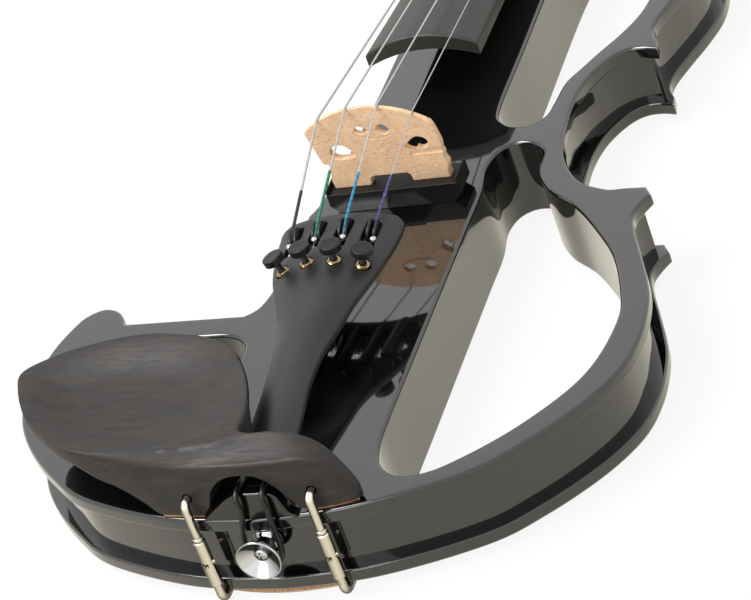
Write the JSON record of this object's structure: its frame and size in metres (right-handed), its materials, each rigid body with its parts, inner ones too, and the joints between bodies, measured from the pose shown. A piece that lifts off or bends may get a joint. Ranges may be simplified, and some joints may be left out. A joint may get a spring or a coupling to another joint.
{
  "type": "electric violin",
  "caption": "Black electric violin with a skeleton body, a maple bridge on a pickup block, a tailpiece with fine tuners and a side-mounted chinrest.",
  "frame": {"origin": "on the plane it rests on, under the middle of its bounding box", "axes": "+Y along the strings from the tail to the scroll, +X to the treble side, +Z out of the top of the body"},
  "size_m": [0.2112, 0.605, 0.0696],
  "materials": {
    "lacquered_wood": "high-gloss black lacquer over solid wood",
    "board_wood": "satin dark hardwood with fine grain",
    "chinrest_wood": "dark stained hardwood, satin",
    "maple": "bare pale maple with fine flecks",
    "satin_black": "satin black moulding",
    "matte_black": "matte black moulding",
    "black_metal": "blackened steel, satin",
    "nickel": "polished nickel, slightly warm",
    "chromed": "bright chrome plating",
    "brass": "polished brass",
    "string_steel": "bright wound string steel",
    "cork": "fine natural cork",
    "circuit_green": "green solder resist"
  },
  "bodies": {
    "body": {"centre_block": "lacquered_wood", "treble_frame": "lacquered_wood", "bass_wing": "lacquered_wood", "neck": "lacquered_wood", "fingerboard": "board_wood", "nut": "board_wood", "bridge": "maple", "bridge_pickup": "matte_black", "saddle": "board_wood", "tailpiece": "satin_black", "tailgut": "matte_black", "end_button": "chromed", "end_button_screw": "chromed", "chinrest": "chinrest_wood", "chinrest_cork_bass": "cork", "chinrest_cork_treble": "cork", "clamp_hook_bass": "nickel", "clamp_hook_treble": "nickel", "clamp_collar_bass": "nickel", "clamp_collar_treble": "nickel", "back_cover": "matte_black", "battery": "satin_black", "circuit_board": "circuit_green", "output_jack": "matte_black", "tuner_bush_g": "brass", "tuner_bush_d": "brass", "tuner_bush_a": "brass", "tuner_bush_e": "brass", "string_g": "string_steel", "string_d": "string_steel", "string_a": "string_steel", "string_e": "string_steel"},
    "peg_g": {"peg_g": "board_wood", "winding_g": "string_steel"},
    "peg_d": {"peg_d": "board_wood", "winding_d": "string_steel"},
    "peg_a": {"peg_a": "board_wood", "winding_a": "string_steel"},
    "peg_e": {"peg_e": "board_wood", "winding_e": "string_steel"},
    "tuner_screw_g": {"tuner_screw_g": "black_metal", "tuner_knob_g": "black_metal"},
    "tuner_lever_g": {"tuner_lever_g": "black_metal"},
    "tuner_screw_d": {"tuner_screw_d": "black_metal", "tuner_knob_d": "black_metal"},
    "tuner_lever_d": {"tuner_lever_d": "black_metal"},
    "tuner_screw_a": {"tuner_screw_a": "black_metal", "tuner_knob_a": "black_metal"},
    "tuner_lever_a": {"tuner_lever_a": "black_metal"},
    "tuner_screw_e": {"tuner_screw_e": "black_metal", "tuner_knob_e": "black_metal"},
    "tuner_lever_e": {"tuner_lever_e": "black_metal"},
    "clamp_foot": {"clamp_foot": "nickel", "clamp_foot_cork": "cork"},
    "clamp_barrel_bass": {"clamp_barrel_bass": "nickel"},
    "clamp_barrel_treble": {"clamp_barrel_treble": "nickel"},
    "volume_knob": {"volume_knob": "satin_black"},
    "tone_knob": {"tone_knob": "satin_black"},
    "power_switch": {"power_switch": "satin_black"},
    "battery_door": {"battery_door": "matte_black"}
  },
  "joints": [
    {"name": "peg_g_turn", "type": "hinge", "parent": "body", "child": "peg_g", "pos_m": [0, 0.22027, 0.01912], "axis": [1, 0, 0], "continuous": true},
    {"name": "peg_d_turn", "type": "hinge", "parent": "body", "child": "peg_d", "pos_m": [0, 0.24547, 0.01746], "axis": [1, 0, 0], "continuous": true},
    {"name": "peg_a_turn", "type": "hinge", "parent": "body", "child": "peg_a", "pos_m": [0, 0.25807, 0.01663], "axis": [1, 0, 0], "continuous": true},
    {"name": "peg_e_turn", "type": "hinge", "parent": "body", "child": "peg_e", "pos_m": [0, 0.23287, 0.01829], "axis": [1, 0, 0], "continuous": true},
    {"name": "tuner_screw_g_drive", "type": "slide", "parent": "body", "child": "tuner_screw_g", "axis": [0.2673, 0, -0.9636], "range_m": [0, 0.003]},
    {"name": "tuner_lever_g_rock", "type": "hinge", "parent": "body", "child": "tuner_lever_g", "pos_m": [-0.01298, -0.17983, 0.0491], "axis": [0.9636, 0, 0.2673], "range_deg": [0, 10.6]},
    {"name": "tuner_screw_d_drive", "type": "slide", "parent": "body", "child": "tuner_screw_d", "axis": [0.0923, 0, -0.9957], "range_m": [0, 0.003]},
    {"name": "tuner_lever_d_rock", "type": "hinge", "parent": "body", "child": "tuner_lever_d", "pos_m": [-0.00442, -0.17983, 0.05096], "axis": [0.9957, 0, 0.0923], "range_deg": [0, 10.6]},
    {"name": "tuner_screw_a_drive", "type": "slide", "parent": "body", "child": "tuner_screw_a", "axis": [-0.0923, 0, -0.9957], "range_m": [0, 0.003]},
    {"name": "tuner_lever_a_rock", "type": "hinge", "parent": "body", "child": "tuner_lever_a", "pos_m": [0.00442, -0.17983, 0.05096], "axis": [0.9957, 0, -0.0923], "range_deg": [0, 10.6]},
    {"name": "tuner_screw_e_drive", "type": "slide", "parent": "body", "child": "tuner_screw_e", "axis": [-0.2673, 0, -0.9636], "range_m": [0, 0.003]},
    {"name": "tuner_lever_e_rock", "type": "hinge", "parent": "body", "child": "tuner_lever_e", "pos_m": [0.01298, -0.17983, 0.0491], "axis": [0.9636, 0, -0.2673], "range_deg": [0, 10.6]},
    {"name": "clamp_foot_travel", "type": "slide", "parent": "body", "child": "clamp_foot", "axis": [0, 0, -1], "range_m": [0, 0.003]},
    {"name": "clamp_barrel_bass_turn", "type": "hinge", "parent": "body", "child": "clamp_barrel_bass", "pos_m": [-0.0205, -0.29623, 0.0166], "axis": [0, 0, 1], "range_deg": [0, 1560]},
    {"name": "clamp_barrel_treble_turn", "type": "hinge", "parent": "body", "child": "clamp_barrel_treble", "pos_m": [0.0205, -0.29623, 0.0166], "axis": [0, 0, 1], "range_deg": [0, 1560]},
    {"name": "volume_knob_turn", "type": "hinge", "parent": "body", "child": "volume_knob", "pos_m": [-0.031, -0.15645, 0.0146], "axis": [-1, 0, 0], "range_deg": [-150, 150]},
    {"name": "tone_knob_turn", "type": "hinge", "parent": "body", "child": "tone_knob", "pos_m": [-0.031, -0.16905, 0.0146], "axis": [-1, 0, 0], "range_deg": [-150, 150]},
    {"name": "power_switch_slide", "type": "slide", "parent": "body", "child": "power_switch", "axis": [0, 1, 0], "range_m": [-0.0025, 0.0025]},
    {"name": "battery_door_hinge", "type": "hinge", "parent": "body", "child": "battery_door", "pos_m": [0, -0.09155, 0.0031], "axis": [-1, 0, 0], "range_deg": [0, 100]}
  ],
  "couplings": [
    {"joint": "tuner_lever_g_rock", "follows": "tuner_screw_g_drive", "rad_per_m": 58.139},
    {"joint": "tuner_lever_d_rock", "follows": "tuner_screw_d_drive", "rad_per_m": 58.139},
    {"joint": "tuner_lever_a_rock", "follows": "tuner_screw_a_drive", "rad_per_m": 58.139},
    {"joint": "tuner_lever_e_rock", "follows": "tuner_screw_e_drive", "rad_per_m": 58.139},
    {"joint": "clamp_barrel_bass_turn", "follows": "clamp_foot_travel", "rad_per_m": 8976},
    {"joint": "clamp_barrel_treble_turn", "follows": "clamp_foot_travel", "rad_per_m": 8976}
  ]
}
